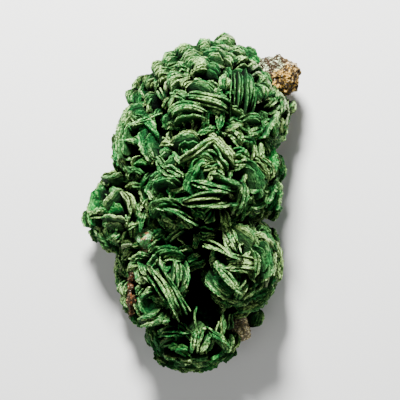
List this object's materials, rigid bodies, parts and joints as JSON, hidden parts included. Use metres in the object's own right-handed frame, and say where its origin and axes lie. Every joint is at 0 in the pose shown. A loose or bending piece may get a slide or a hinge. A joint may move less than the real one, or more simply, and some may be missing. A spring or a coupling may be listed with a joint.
{
  "type": "torbernite cluster",
  "caption": "Mineral specimen: rosettes and books of green tabular torbernite crystals grown over a low ridge of brown rock, lying on the flat back of the rock.",
  "frame": {"origin": "on the flat back of the rock matrix, which is the face that the specimen rests on", "axes": "+Z out of the crystal face, away from the rock; +Y along the length, from the tip to the rounded crown; +X across the width"},
  "size_m": [0.0441, 0.0685, 0.0302],
  "materials": {
    "torbernite": "vitreous to pearly, with pale frosted edges",
    "rock": "rough and granular, cream to ochre and brown"
  },
  "bodies": {
    "root": {"torbernite_crystals": "torbernite", "matrix": "rock"}
  },
  "joints": []
}
